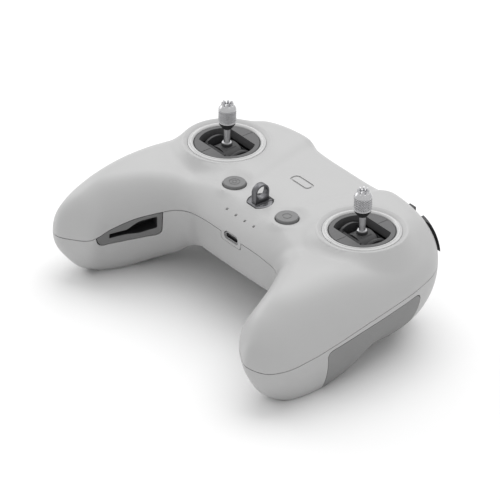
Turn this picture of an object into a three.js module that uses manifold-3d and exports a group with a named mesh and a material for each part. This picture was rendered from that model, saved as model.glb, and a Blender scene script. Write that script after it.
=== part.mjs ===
// Handheld radio transmitter controller with two thumb gimbals.
// Millimetres, +Z up, +X to the user's right, the grips point towards -Y.
// The casing is a loft over ribs that run across a horseshoe, from one grip tip to the other.
import * as THREE from 'three';
import { mergeVertices } from 'three/addons/utils/BufferGeometryUtils.js';
import Module from 'manifold-3d';

const wasm = await Module();
wasm.setup();

// ---------------------------------------------------------------- driving dimensions
const ORIGIN_Y = -0.55;          // moves the design frame so that the origin is under the middle
const WALL = 2.2;               // shell thickness
const SEAM = 0.15;              // half of the gap along the parting line
const GAP = 0.3;                // fitting gap between neighbouring pieces
const ROOM_GAP = 0.8;           // clearance of the inner pieces to the faceted shell

const GIMBAL = { x: 48.5, y: 21.8, plateZ: 54.2, pivotZ: 44.8, tilt: 25 };
const PEDESTAL = { lipZ: 55.05, lipR: 20.4, footR: 25.5, funnelR: 19.7, boreR: 18.0 };
const RING = { outerR: 17.7, innerR: 15.3, topZ: 54.9, bottomZ: 53.2 };
const COVER = { r: 15.0, windowR: 12.9, windowHalf: 8.8, skirt: 1.1, skirtZ: 49.6 };
const HOUSING = { r: 15.6, wall: 2.2, bottomZ: 30, topZ: 49.2 };
const DRUM = { r: 8.7, half: 9.8, wall: 1.5, trunnionR: 1.9, trunnionEnd: 15.2 };
const STICK = { r: 1.5, boot: 4.85, pinR: 1.25, pinEnd: 8.3, coneZ: 61.5, capZ: 64.6, topZ: 70 };
const CAP = { r: 4.15, shoulderZ: 72.1, shoulderR: 3.1, crownZ: 75.05, crownR: 2.8, teeth: 8 };

const BUTTON = { x: 18.9, y: 2.9, r: 5.15, topZ: 54.1, flangeR: 6.2, flangeZ: 48.0, stemZ: 47.2 };
const SEAT = { r: 6.4, z: 52.85, footR: 9.5, footZ: 50.2 };
const HOOK = { y: 2.7, baseZ: 51.6, topZ: 53.0, r: 5.9, half: 5.0, eyeZ: 57.9, eyeR: 2.9, width: 3.1 };
const LEDS = { pitch: 6.4, y: -8.5, topZ: 47.2, barZ: 42.6, x: 1.2, depth: 0.8 };
const PORT = { z: 39.5, half: 4.5, height: 3.2, wall: 0.4, frontY: -13.2, backY: -5.8 };
const TAB = { half: 7.0, topZ: 40.6, bottomZ: 36.4, radius: 3.4 };
const PCB = { half: 27, frontY: -9, backY: 29, z: 36.1, thickness: 1.6 };
const BOARD = { half: 24, frontY: -5.5, backY: 10, z: 43.8, thickness: 1.2 };
const TACT = { half: 3, z: 45.3, topZ: 46.3 };
const CELL = { r: 9.2, half: 32.5, y: 40, z: 21.5 };
const PAD = { frontY: -24, backY: 33, thickness: 1.2, innerX: 57 };
const SCREWS = [
  { where: 'grip', x: 66, y: -42, seamZ: 26 },
  { where: 'front', x: 31.5, y: -4, seamZ: 37.6 },
  { where: 'rear', x: 55.5, y: 45.5, seamZ: 35.8 },
];

// Ribs from the grip tip (first) to the middle of the body (last). Each has the two ends of the
// parting line, then for the crown and for the belly: the height it would reach at the inner and at
// the outer end, its bulge between them, and the rounding widths at the two ends.
const RIBS = [
  { inner: [69, -59.5, 23.8], outer: [69, -59.5, 23.8], crown: [38, 35, 3, 15, 15], belly: [10, 9.5, 0, 20, 20] },
  { inner: [61.8, -56.4, 24.2], outer: [77.5, -55.2, 22.6], crown: [39.5, 36, 2, 15, 16.5], belly: [12, 6.8, 0.6, 21, 17.5] },
  { inner: [54, -51.2, 25.6], outer: [81.6, -46.5, 22.8], crown: [42, 39, 3.5, 15, 18], belly: [6, 5.6, 2.5, 22, 17] },
  { inner: [51.2, -42, 29.5], outer: [82.5, -33.5, 24.2], crown: [47, 44, 4, 14, 20], belly: [2.5, 1.8, 5, 24, 15.5] },
  { inner: [47.4, -32.5, 33], outer: [82.2, -18, 26.7], crown: [49, 49, 3, 12, 20.5], belly: [2, 0.5, 5, 24, 16] },
  { inner: [42.6, -24, 35.3], outer: [81.2, -2, 29.5], crown: [50, 51, 2.5, 11, 21.5], belly: [3.5, 2, 3, 23, 16.5] },
  { inner: [37, -16.5, 37.2], outer: [80, 14, 32], crown: [49.5, 50.5, 2, 10.5, 22], belly: [8, 10, 3.5, 18, 18.5] },
  { inner: [31, -13.9, 38.3], outer: [77.6, 31, 34.2], crown: [48.8, 49.5, 1.5, 10, 21.5], belly: [20, 11, 8.5, 12, 18.5] },
  { inner: [24, -13.8, 39.4], outer: [71.4, 46.2, 35.5], crown: [49.3, 49.4, 3.1, 11, 19.5], belly: [24.8, 10, 11.5, 4, 19] },
  { inner: [17, -13.8, 39.9], outer: [59.2, 56, 36.5], crown: [50.2, 53.4, 2.9, 12, 14.5], belly: [24.8, 6, 12.5, 3, 18] },
  { inner: [10, -13.8, 39.9], outer: [33.5, 60.2, 37], crown: [50.8, 54.3, 2.6, 12, 11], belly: [24.8, 3, 13.5, 3, 16] },
  { inner: [6, -13.8, 39.9], outer: [24, 58.4, 37], crown: [50.8, 52.2, 2.6, 12, 10.5], belly: [24.8, 2.5, 13, 3, 16] },
  { inner: [0, -13.8, 39.9], outer: [0, 57.6, 37], crown: [50.8, 52.3, 2.6, 12, 10.5], belly: [24.8, 2, 13, 3, 16] },
];
const LAST = RIBS.length - 1;
const ROUNDNESS = { crown: 2.2, belly: 2.0, front: 1.5 };

// ---------------------------------------------------------------- materials
const plastic = (color, roughness = 0.6) => new THREE.MeshStandardMaterial({ color, roughness, metalness: 0 });
const metal = (color, roughness = 0.35) => new THREE.MeshStandardMaterial({ color, roughness, metalness: 1 });
const FINISH = {
  shell: plastic(0xc4c4c2, 0.55),
  pad: plastic(0x828282, 0.9),
  dark: plastic(0x4a4a4c, 0.7),
  black: plastic(0x1c1c1e, 0.6),
  key: plastic(0x98989a),
  ring: plastic(0xd2d2d0, 0.3),
  hook: metal(0x55565a, 0.45),
  cap: metal(0xb4b4b6, 0.3),
  steel: metal(0x9a9a9c, 0.35),
  board: plastic(0x1f5a3a, 0.6),
  cell: plastic(0x2f4f86),
  clear: plastic(0xe8e8e0, 0.3),
};

// ---------------------------------------------------------------- solids
function solid(geometry) {
  const bare = geometry.clone();
  bare.deleteAttribute('normal');
  bare.deleteAttribute('uv');
  const merged = mergeVertices(bare, 1e-4);
  const points = merged.attributes.position.array;
  const kept = [];
  let volume = 0;
  for (let i = 0; i < merged.index.count; i += 3) {
    const [a, b, c] = [0, 1, 2].map((k) => merged.index.array[i + k]);
    if (a === b || b === c || a === c) continue;
    kept.push(a, b, c);
    const [p, q, r] = [a, b, c].map((k) => new THREE.Vector3().fromArray(points, 3 * k));
    volume += p.dot(q.cross(r));
  }
  if (volume < 0) kept.reverse();
  const triVerts = new Uint32Array(kept);
  const vertProperties = new Float32Array(points);
  return new wasm.Manifold(new wasm.Mesh({ numProp: 3, vertProperties, triVerts }));
}

function surface(manifold) {
  const mesh = manifold.getMesh();
  const geometry = new THREE.BufferGeometry();
  geometry.setAttribute('position', new THREE.BufferAttribute(new Float32Array(mesh.vertProperties), 3));
  geometry.setIndex(new THREE.BufferAttribute(new Uint32Array(mesh.triVerts), 1));
  return geometry;
}

const joined = (...parts) => parts.reduce((sum, part) => sum.add(part));
const cut = (body, ...tools) => tools.reduce((rest, tool) => rest.subtract(tool), body);

function box(x0, x1, y0, y1, z0, z1) {
  const geometry = new THREE.BoxGeometry(x1 - x0, y1 - y0, z1 - z0);
  return solid(geometry.translate((x0 + x1) / 2, (y0 + y1) / 2, (z0 + z1) / 2));
}

// Revolves [radius, z] pairs about a vertical axis through (x, y).
function revolve(profile, segments = 32, x = 0, y = 0) {
  const points = [...profile, profile[0]].map(([r, z]) => new THREE.Vector2(r, z));
  const geometry = new THREE.LatheGeometry(points, segments);
  return solid(geometry.rotateX(Math.PI / 2).translate(x, y, 0));
}

const disc = (r, z0, z1, segments = 32, x = 0, y = 0) =>
  revolve([[0, z0], [r, z0], [r, z1], [0, z1]], segments, x, y);

// A round bar between two points.
function rod(r, from, to, segments = 20) {
  const start = new THREE.Vector3(...from);
  const along = new THREE.Vector3(...to).sub(start);
  const geometry = new THREE.CylinderGeometry(r, r, along.length(), segments);
  const turn = new THREE.Quaternion().setFromUnitVectors(new THREE.Vector3(0, 1, 0), along.clone().normalize());
  return solid(geometry.applyQuaternion(turn).translate(...start.addScaledVector(along, 0.5).toArray()));
}

// An outline in X and Y, raised from z0 to z1.
function prism(shape, z0, z1, curveSegments = 12) {
  const options = { depth: z1 - z0, bevelEnabled: false, curveSegments };
  return solid(new THREE.ExtrudeGeometry(shape, options).translate(0, 0, z0));
}

// An outline in X and Z, carried along Y.
function prismAlongY(shape, y0, y1, curveSegments = 12) {
  const options = { depth: y1 - y0, bevelEnabled: false, curveSegments };
  return solid(new THREE.ExtrudeGeometry(shape, options).rotateX(Math.PI / 2).translate(0, y1, 0));
}

// An outline in Y and Z, carried along X.
function prismAlongX(shape, x0, x1, curveSegments = 12) {
  const options = { depth: x1 - x0, bevelEnabled: false, curveSegments };
  const turn = new THREE.Matrix4().makeBasis(
    new THREE.Vector3(0, 1, 0), new THREE.Vector3(0, 0, 1), new THREE.Vector3(1, 0, 0));
  return solid(new THREE.ExtrudeGeometry(shape, options).applyMatrix4(turn).translate(x0, 0, 0));
}

// A block whose long axis points out of the casing, at the given heading in the XY plane.
function blockAlong(x, y, z, heading, width, height, inward, outward) {
  const geometry = new THREE.BoxGeometry(inward + outward, width, height);
  geometry.translate((outward - inward) / 2, 0, 0).rotateZ(heading);
  return solid(geometry.translate(x, y, z));
}

const mirrored = (manifold) => solid(surface(manifold).scale(-1, 1, 1));
const onSide = (side, manifold) => (side > 0 ? manifold : mirrored(manifold));

function stadium(halfWidth, height, z) {
  const r = height / 2;
  const shape = new THREE.Shape();
  shape.moveTo(halfWidth - r, z - r);
  shape.absarc(halfWidth - r, z, r, -Math.PI / 2, Math.PI / 2, false);
  shape.absarc(r - halfWidth, z, r, Math.PI / 2, 1.5 * Math.PI, false);
  return shape;
}

// A circle with its two sides cut flat at +-half.
function band(r, half) {
  const angle = Math.asin(half / r);
  const shape = new THREE.Shape();
  shape.absarc(0, 0, r, -angle, angle, false);
  shape.absarc(0, 0, r, Math.PI - angle, Math.PI + angle, false);
  return shape;
}

// ---------------------------------------------------------------- casing surface
const rimPoints = [
  ...RIBS.slice(1).reverse().map((rib) => rib.inner),
  ...RIBS.map((rib) => rib.outer),
].map((p) => new THREE.Vector3(...p));
const mirrorPoints = rimPoints.slice(1, -1).reverse().map((p) => new THREE.Vector3(-p.x, p.y, p.z));
const RIM = new THREE.CatmullRomCurve3([...rimPoints, ...mirrorPoints], true, 'centripetal');
const RIM_COUNT = RIM.points.length;

// A point of the parting line at a fractional rib number, moved inwards by the inset.
function rimPoint(rib, outer, inset) {
  const t = (LAST + (outer ? rib : -rib)) / RIM_COUNT;
  const point = RIM.getPoint((t + 1) % 1);
  const tangent = RIM.getTangent((t + 1) % 1).setZ(0).normalize();
  return point.add(new THREE.Vector3(-tangent.y, tangent.x, 0).multiplyScalar(inset));
}

// A rib value at a fractional rib number, as a smooth curve through the values.
function ribValue(kind, column, rib) {
  const at = (k) => RIBS[k < 0 ? -k : k > LAST ? 2 * LAST - k : k][kind][column];
  const k = Math.min(Math.floor(rib), LAST - 1);
  const w = rib - k;
  const [a, b, c, d] = [at(k - 1), at(k), at(k + 1), at(k + 2)];
  const [m, n] = [(c - a) / 2, (d - b) / 2];
  return b + m * w + (3 * c - 3 * b - 2 * m - n) * w * w + (2 * b - 2 * c + m + n) * w ** 3;
}

const rounding = (distance, width, power) =>
  (1 - (1 - Math.min(distance / width, 1)) ** power) ** (1 / power);

// The rounding of the inner end, which turns softer along the front edge between the grips.
function innerPower(kind, rib) {
  if (kind === 'belly') return ROUNDNESS.belly;
  const share = Math.min(Math.max((rib - 5) / 3, 0), 1);
  return ROUNDNESS.crown + (ROUNDNESS.front - ROUNDNESS.crown) * share;
}

// A point of the crown or belly: rib number, then 0 at the inner end to 1 at the outer end.
function casingPoint(kind, inset, rib, w) {
  const up = kind === 'crown' ? 1 : -1;
  const inner = rimPoint(rib, false, inset);
  const outer = rimPoint(rib, true, inset);
  const length = Math.hypot(outer.x - inner.x, outer.y - inner.y);
  const [zInner, zOuter, bulge, rInner, rOuter] = [0, 1, 2, 3, 4].map((c) => ribValue(kind, c, rib));
  const narrow = (r) => Math.max(r - inset, 0.8);
  const fill = rounding(w * length, narrow(rInner), innerPower(kind, rib))
    * rounding((1 - w) * length, narrow(rOuter), ROUNDNESS[kind]);
  const point = inner.lerp(outer, w);
  const seam = point.z + up * SEAM;
  const full = zInner * (1 - w) + zOuter * w + up * (4 * bulge * w * (1 - w) - inset);
  const z = seam + (full - seam) * fill;
  return point.setZ(up > 0 ? z : Math.max(z, inset));
}

// The closed solid above (crown) or below (belly) the parting line. A skirt carries its open side
// past the parting line, for a cavity that has to cut right through.
function casing(kind, inset, skirt, across) {
  const up = kind === 'crown' ? 1 : -1;
  const halfRibs = [0, 0.1, 0.35, 0.65];
  for (let k = 1; k < LAST; k += 1) halfRibs.push(k);
  const rows = [...halfRibs.map((rib) => [rib, 1]), [LAST, 1], ...halfRibs.map((rib) => [rib, -1]).reverse()];
  const steps = Array.from({ length: across + 1 }, (_, i) => (1 - Math.cos((Math.PI * i) / across)) / 2);
  const positions = [];
  const rings = rows.map(([rib, side]) => {
    const ring = steps.map((w) => casingPoint(kind, inset, rib, w));
    const foot = [...ring].reverse().filter((_, i) => skirt > 0 && (i === 0 || i === across));
    const points = [...ring, ...foot.map((p) => p.clone().setZ(p.z - up * skirt))];
    return points.map((p) => positions.push(p.x * side, p.y, p.z) / 3 - 1);
  });
  const index = [];
  for (let r = 0; r + 1 < rings.length; r += 1) {
    const [a, b] = [rings[r], rings[r + 1]];
    a.forEach((_, i) => {
      const j = (i + 1) % a.length;
      index.push(a[i], b[i], b[j], a[i], b[j], a[j]);
    });
  }
  const geometry = new THREE.BufferGeometry();
  geometry.setAttribute('position', new THREE.Float32BufferAttribute(positions, 3));
  geometry.setIndex(capped(index, rings));
  return solid(geometry);
}

// Closes the two end rings, which lie flat when they have a skirt and shrink to a point otherwise.
function capped(index, rings) {
  [rings[0], rings[rings.length - 1]].forEach((ring, end) => {
    for (let i = 1; i + 1 < ring.length; i += 1) {
      index.push(ring[0], ...(end ? [ring[i + 1], ring[i]] : [ring[i], ring[i + 1]]));
    }
  });
  return index;
}

const outerCrown = casing('crown', 0, 0, 10);
const outerBelly = casing('belly', 0, 0, 10);
const crownCavity = casing('crown', WALL, 2, 7);
const bellyCavity = casing('belly', WALL, 2, 7);
const crownRoom = casing('crown', WALL + ROOM_GAP, 0, 7);
const bellyRoom = casing('belly', WALL + ROOM_GAP, 0, 7);

// ---------------------------------------------------------------- pieces that shape the shells
const bothSides = (manifold) => joined(manifold, mirrored(manifold));

const pedestal = revolve([
  [0, 48], [27, 48], [PEDESTAL.footR, 50.3], [23.2, 52.2], [21.6, 54.0],
  [PEDESTAL.lipR + 0.3, PEDESTAL.lipZ], [0, PEDESTAL.lipZ],
], 32, GIMBAL.x, GIMBAL.y);

// The level ring of the deck round a button.
const buttonSeat = revolve([
  [0, 48], [SEAT.footR, 48], [SEAT.footR, SEAT.footZ], [SEAT.r, SEAT.z], [0, SEAT.z],
], 32, BUTTON.x, BUTTON.y);

const gimbalBore = revolve([
  [0, 40], [PEDESTAL.boreR, 40], [PEDESTAL.boreR, RING.topZ - 0.6],
  [PEDESTAL.funnelR, PEDESTAL.lipZ + 0.1], [0, PEDESTAL.lipZ + 0.1],
], 32, GIMBAL.x, GIMBAL.y);

function boss(kind, screw, radius, holeR) {
  const room = casing(kind, 0.7, 0, 7);
  const post = disc(radius, 0, 60, 12, screw.x, screw.y).intersect(room);
  return cut(post, disc(holeR, screw.seamZ - 20, screw.seamZ + 9, 8, screw.x, screw.y));
}

function tabShape(margin) {
  const half = TAB.half + margin;
  const bottom = TAB.bottomZ - margin;
  const shape = new THREE.Shape();
  shape.moveTo(half, TAB.topZ);
  shape.lineTo(half, bottom + TAB.radius);
  shape.absarc(half - TAB.radius, bottom + TAB.radius, TAB.radius, 0, -Math.PI / 2, true);
  shape.absarc(TAB.radius - half, bottom + TAB.radius, TAB.radius, -Math.PI / 2, -Math.PI, true);
  shape.lineTo(-half, TAB.topZ);
  return shape;
}

// ---------------------------------------------------------------- shoulder controls
const KEYS = {
  record_button: { x: 56, y: 54.9, z: 43.6, heading: 90, width: 15, height: 10.8, inward: 0, proud: 1.3 },
  pause_button: { x: -33, y: 56, z: 43.6, heading: 90, width: 9, height: 5, inward: 5, proud: 0.9 },
};
const STEM = { width: 5, height: 3, reach: 3.2, travel: 1.0 };
const SWITCHES = {
  flight_mode_switch: { x: 37.5, y: 57.5, z: 46.3, width: 4, slot: 11, height: 3.2, tipY: 60.6 },
};
const TOGGLES = {
  right_toggle: { x: 28.6, y: 57.4, z: 43.5, width: 3.6 },
  left_toggle: { x: -62, y: 53.2, z: 42.5, width: 3.6 },
};
const TOGGLE = { half: 3.4, reach: 2.6, pivotIn: 3.0, swing: 12 };
const DIAL = { x: -48, y: 53.4, z: 43.2, r: 6.2, width: 6, axleR: 1.2, axleHalf: 5 };

const radians = (degrees) => (degrees * Math.PI) / 180;

const keyBlock = (key, width, height, inward, outward) =>
  blockAlong(key.x, key.y, key.z, radians(key.heading), width, height, inward, outward);

// A key is a slice of the crown's skin, grown proud of the shell, on a square stem.
function keySolid(key) {
  const bar = keyBlock(key, key.width, key.height, key.inward, 12);
  const stem = keyBlock(key, STEM.width, STEM.height, key.inward + STEM.reach, 1);
  return joined(bar, stem).intersect(casing('crown', -key.proud, 0, 10));
}

function keyWindow(key) {
  const bar = keyBlock(key, key.width + 2 * GAP, key.height + 2 * GAP, key.inward + STEM.travel + GAP, 14);
  const stem = keyBlock(key, STEM.width + 2 * GAP, STEM.height + 2 * GAP, key.inward + STEM.reach + 3, 1);
  return joined(bar, stem);
}

function switchWindow(item) {
  return box(item.x - item.slot / 2, item.x + item.slot / 2, item.y - 5, item.y + 9,
    item.z - item.height / 2 - GAP, item.z + item.height / 2 + GAP);
}

function toggleWindow(item) {
  const half = item.width / 2 + GAP;
  return box(item.x - half, item.x + half, item.y - 6, item.y + 12, item.z - TOGGLE.half - 1.6, item.z + TOGGLE.half + 1.6);
}

function dialWindow() {
  const half = DIAL.width / 2 + 0.5;
  const tall = DIAL.r + 0.5;
  const slot = box(DIAL.x - half, DIAL.x + half, DIAL.y - 4, DIAL.y + 14, DIAL.z - tall, DIAL.z + tall);
  return joined(slot, axleSolid(GAP));
}

const shoulderWindows = [
  ...Object.values(KEYS).map(keyWindow),
  ...Object.values(SWITCHES).map(switchWindow),
  ...Object.values(TOGGLES).map(toggleWindow),
  dialWindow(),
];

// ---------------------------------------------------------------- grip pieces
// The pad's outline in Y and Z: it follows the parting line and runs past the floor.
function padOutline(margin) {
  const shape = new THREE.Shape();
  const front = PAD.frontY - margin;
  const back = PAD.backY + margin;
  shape.moveTo(back, -2);
  shape.lineTo(back, 27);
  shape.quadraticCurveTo(back, 32.2 + margin, back - 4, 31.7 + margin);
  shape.lineTo(front + 6, 24.4 + margin);
  shape.quadraticCurveTo(front + 0.6, 23.6 + margin, front, 18);
  shape.lineTo(front + 3, 3);
  shape.lineTo(front + 5, -2);
  return shape;
}

const padRegion = (margin) => prismAlongX(padOutline(margin), PAD.innerX - margin, 95);
const gripPad = cut(outerBelly.intersect(padRegion(0)), casing('belly', PAD.thickness, 1, 8));
const padRecess = cut(padRegion(GAP), casing('belly', PAD.thickness + GAP, 1, 8));

// The storage insert fills a leaf-shaped opening under the parting line, inside each grip. Its
// outlines give [sideways, height] at a point of the grip's wall, seen from outside the grip.
const INSERT = { x: 47.5, y: -33.5, heading: 205, depth: 10.5, reach: 15 };
const LEAF = { back: -14.1, backZ: 24.2, frontZ: 21.9, front: 14.6, tip: 16.2, tipZ: 25.5, topZ: 46 };
const POCKET = {
  depth: 8.2,
  corners: [[10.2, 24.7], [10.2, 27.2], [2, 28], [-3.4, 31.8], [-11.9, 33.9], [-12.1, 27.7], [-4, 25.2], [2.4, 25.4]],
};

// Carries a [sideways, height] outline along the facing direction of the insert.
function facing(corners, inward, outward) {
  const heading = radians(INSERT.heading);
  const out = new THREE.Vector3(Math.cos(heading), Math.sin(heading), 0);
  const aside = new THREE.Vector3(-Math.sin(heading), Math.cos(heading), 0);
  const shape = new THREE.Shape(corners.map(([s, z]) => new THREE.Vector2(s, z)));
  const geometry = new THREE.ExtrudeGeometry(shape, { depth: inward + outward, bevelEnabled: false });
  geometry.translate(0, 0, -inward);
  geometry.applyMatrix4(new THREE.Matrix4().makeBasis(aside, new THREE.Vector3(0, 0, 1), out));
  return solid(geometry.translate(INSERT.x, INSERT.y, 0));
}

function insertRegion(margin) {
  const back = LEAF.back - margin;
  const tip = LEAF.tip + margin;
  const corners = [
    [back, LEAF.topZ], [back, LEAF.backZ + 2.5], [back + 0.8, LEAF.backZ + 0.7 - margin], [back + 2.8, LEAF.backZ - margin],
    [0, LEAF.frontZ + 0.1 - margin], [LEAF.front - 1.2, LEAF.frontZ - margin],
    [LEAF.front + 0.8 + margin, LEAF.frontZ + 1.2], [tip, LEAF.tipZ], [tip, LEAF.topZ],
  ];
  return facing(corners, INSERT.depth + margin, INSERT.reach);
}

const insertBlock = insertRegion(0).intersect(outerBelly);
const insertPocket = facing(POCKET.corners, POCKET.depth, INSERT.reach + 5);

// ---------------------------------------------------------------- shells
function topShell() {
  const holes = [
    gimbalBore, mirrored(gimbalBore),
    bothSides(disc(BUTTON.r + GAP, 40, 60, 24, BUTTON.x, BUTTON.y)),
    bothSides(disc(BUTTON.flangeR + GAP, 40, BUTTON.flangeZ + GAP, 20, BUTTON.x, BUTTON.y)),
    prism(band(HOOK.r + GAP, HOOK.half + GAP), HOOK.baseZ - GAP, 60).translate([0, HOOK.y, 0]),
    disc(2.3, 40, 60, 16, 0, HOOK.y),
    prismAlongY(stadium(5.1, 4.0, PORT.z), -16, -8),
    ...[-1.5, -0.5, 0.5, 1.5].map((k) => box(
      k * LEDS.pitch - LEDS.x / 2 - GAP, k * LEDS.pitch + LEDS.x / 2 + GAP,
      LEDS.y - LEDS.depth / 2 - GAP, LEDS.y + LEDS.depth / 2 + GAP, 42, 55)),
    ...shoulderWindows,
  ];
  const tab = prismAlongY(tabShape(0), -13.8, -13.8 + WALL);
  const posts = SCREWS.map((screw) => bothSides(boss('crown', screw, 3.0, 1.1)));
  const levelling = bothSides(disc(SEAT.r, SEAT.z, 60, 32, BUTTON.x, BUTTON.y));
  const hollow = cut(joined(outerCrown, bothSides(pedestal), bothSides(buttonSeat)), crownCavity, levelling);
  return cut(joined(hollow, tab, ...posts), ...holes);
}

function bottomShell() {
  const posts = SCREWS.map((screw) => bothSides(boss('belly', screw, 4.0, 1.4)));
  const counterbores = SCREWS.map((screw) => bothSides(disc(2.9, -5, screw.seamZ - 6, 12, screw.x, screw.y)));
  const notch = prismAlongY(tabShape(GAP), -16, -10.5);
  const insertCut = insertRegion(GAP);
  return cut(
    joined(cut(outerBelly, bellyCavity), ...posts), ...counterbores, notch,
    bothSides(padRecess), bothSides(insertCut),
  );
}

// ---------------------------------------------------------------- gimbal
const ringSolid = () => revolve([
  [RING.innerR, RING.bottomZ], [RING.outerR, RING.bottomZ], [RING.outerR, RING.topZ],
  [RING.innerR + 1.1, RING.topZ], [RING.innerR, RING.topZ - 0.7],
], 28);

function coverSolid() {
  const plate = disc(COVER.r, GIMBAL.plateZ - 1.2, GIMBAL.plateZ, 32);
  const skirt = prism(band(COVER.windowR + COVER.skirt, COVER.windowHalf + COVER.skirt), COVER.skirtZ,
    GIMBAL.plateZ - 0.6, 8);
  return cut(joined(plate, skirt), prism(band(COVER.windowR, COVER.windowHalf), 40, 60, 8));
}

function housingSolid() {
  const inner = HOUSING.r - HOUSING.wall;
  const can = revolve([
    [0, HOUSING.bottomZ], [HOUSING.r, HOUSING.bottomZ], [HOUSING.r, HOUSING.topZ],
    [inner, HOUSING.topZ], [inner, HOUSING.bottomZ + 2], [0, HOUSING.bottomZ + 2],
  ], 20);
  return cut(can, rod(DRUM.trunnionR + 0.4, [-20, 0, GIMBAL.pivotZ], [20, 0, GIMBAL.pivotZ]));
}

function drumSolid() {
  const z = GIMBAL.pivotZ;
  const inner = DRUM.half - DRUM.wall;
  const barrel = cut(
    joined(rod(DRUM.r, [-DRUM.half, 0, z], [DRUM.half, 0, z], 24),
      rod(DRUM.trunnionR, [-DRUM.trunnionEnd, 0, z], [DRUM.trunnionEnd, 0, z], 12)),
    rod(DRUM.r - DRUM.wall, [-inner, 0, z], [inner, 0, z], 18),
    box(-inner, inner, -5.3, 5.3, z + 2, z + 20),
    rod(STICK.pinR + GAP, [0, -20, z], [0, 20, z], 12),
  );
  return barrel;
}

function stickSolid() {
  const z = GIMBAL.pivotZ;
  const bootZ = GIMBAL.plateZ - 3.2;
  const boot = new THREE.CylinderGeometry(3.0 * Math.SQRT2, STICK.boot * Math.SQRT2, 1.6, 4)
    .rotateY(Math.PI / 4).rotateX(Math.PI / 2).translate(0, 0, bootZ);
  const shaft = revolve([
    [0, z], [2.4, z], [2.6, GIMBAL.plateZ - 0.2], [2.25, GIMBAL.plateZ + 0.3], [STICK.r, GIMBAL.plateZ + 0.4],
    [STICK.r, STICK.capZ - 0.6], [1.2, STICK.capZ], [1.2, STICK.topZ], [0, STICK.topZ],
  ], 14);
  return joined(shaft, solid(boot), box(-2.8, 2.8, -4.85, 4.85, z - 3, z + 5.8),
    rod(STICK.pinR, [0, -STICK.pinEnd, z], [0, STICK.pinEnd, z], 10));
}

const coneSolid = () => revolve([
  [STICK.r + GAP, STICK.coneZ], [2.1, STICK.coneZ], [3.9, STICK.capZ - GAP], [STICK.r + GAP, STICK.capZ - GAP],
], 16);

function capSolid() {
  const crown = revolve([
    [1.5, CAP.shoulderZ + 0.8], [CAP.shoulderR - 0.1, CAP.shoulderZ + 0.8], [CAP.crownR, CAP.crownZ],
    [1.9, CAP.crownZ],
  ], 16);
  const notches = Array.from({ length: CAP.teeth / 2 }, (_, i) => {
    const notch = new THREE.BoxGeometry(8, 0.8, 3).rotateZ((2 * Math.PI * i) / CAP.teeth);
    return solid(notch.translate(0, 0, CAP.shoulderZ + 2.9));
  });
  const body = revolve([
    [0, STICK.capZ], [3.8, STICK.capZ], [CAP.r, STICK.capZ + 0.4], [CAP.r, CAP.shoulderZ],
    [CAP.shoulderR, CAP.shoulderZ + 1.3], [0, CAP.shoulderZ + 1.3],
  ], 20);
  return cut(joined(body, crown), disc(1.6, 60, STICK.topZ + 1.4, 12), ...notches);
}

const sensorSolid = (side) => onSide(side, box(16, 18.4, -5, 5, 39.5, 46.5));

// ---------------------------------------------------------------- centre pieces
const buttonSolid = () => revolve([
  [0, BUTTON.stemZ], [BUTTON.flangeR, BUTTON.stemZ], [BUTTON.flangeR, BUTTON.flangeZ], [BUTTON.r, BUTTON.flangeZ],
  [BUTTON.r, BUTTON.topZ - 0.7], [BUTTON.r - 0.5, BUTTON.topZ - 0.15], [BUTTON.r - 1.2, BUTTON.topZ], [0, BUTTON.topZ],
], 24);

const tactSolid = () => box(-TACT.half, TACT.half, -TACT.half, TACT.half, TACT.z, TACT.topZ);

function hookSolid() {
  const half = 4.0;
  const loop = new THREE.Shape();
  loop.moveTo(half, HOOK.baseZ + 0.2);
  loop.absarc(0, HOOK.eyeZ, half, 0, Math.PI, false);
  loop.lineTo(-half, HOOK.baseZ + 0.2);
  const plate = prismAlongX(loop, -HOOK.width / 2, HOOK.width / 2, 16);
  const eye = rod(HOOK.eyeR, [-5, 0, HOOK.eyeZ], [5, 0, HOOK.eyeZ], 24);
  const foot = prism(band(HOOK.r, HOOK.half), HOOK.baseZ, HOOK.topZ);
  const stem = disc(2.0, 47, HOOK.baseZ + 0.5, 16);
  return joined(cut(plate, eye), foot, stem).translate([0, HOOK.y, 0]);
}

const plateSolid = (plate) =>
  box(-plate.half, plate.half, plate.frontY, plate.backY, plate.z, plate.z + plate.thickness);

function portShell() {
  const outside = prismAlongY(stadium(PORT.half, PORT.height, PORT.z), PORT.frontY, PORT.backY, 6);
  const hollow = stadium(PORT.half - PORT.wall, PORT.height - 2 * PORT.wall, PORT.z);
  return cut(outside, prismAlongY(hollow, PORT.frontY - 1, PORT.backY - PORT.wall, 6));
}

function lightGuide() {
  const posts = [-1.5, -0.5, 0.5, 1.5].map((k) => box(
    k * LEDS.pitch - LEDS.x / 2, k * LEDS.pitch + LEDS.x / 2,
    LEDS.y - LEDS.depth / 2, LEDS.y + LEDS.depth / 2, LEDS.barZ, LEDS.topZ));
  return joined(box(-11.6, 11.6, LEDS.y - 0.8, LEDS.y + 1.4, LEDS.barZ - 1, LEDS.barZ + 0.5), ...posts);
}

function cellHolder() {
  const tray = box(-35.2, 35.2, CELL.y - 9.4, CELL.y + 9.4, 8, CELL.z + 2);
  const space = rod(CELL.r + GAP, [-CELL.half - 1, CELL.y, CELL.z], [CELL.half + 1, CELL.y, CELL.z], 28);
  return cut(tray.intersect(bellyRoom), space);
}

// A flat ribbon cable in X and Z from a gimbal housing to the main board.
function ribbonSolid(side) {
  const shape = new THREE.Shape();
  shape.moveTo(32.4, 43);
  shape.quadraticCurveTo(31, 38.4, 27, 38.4);
  shape.lineTo(23, 38.4);
  shape.lineTo(23, 38.0);
  shape.lineTo(27.4, 38.0);
  shape.quadraticCurveTo(31.6, 38.0, 32.7, 43);
  return onSide(side, prismAlongY(shape, 18, 26, 8));
}

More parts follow.
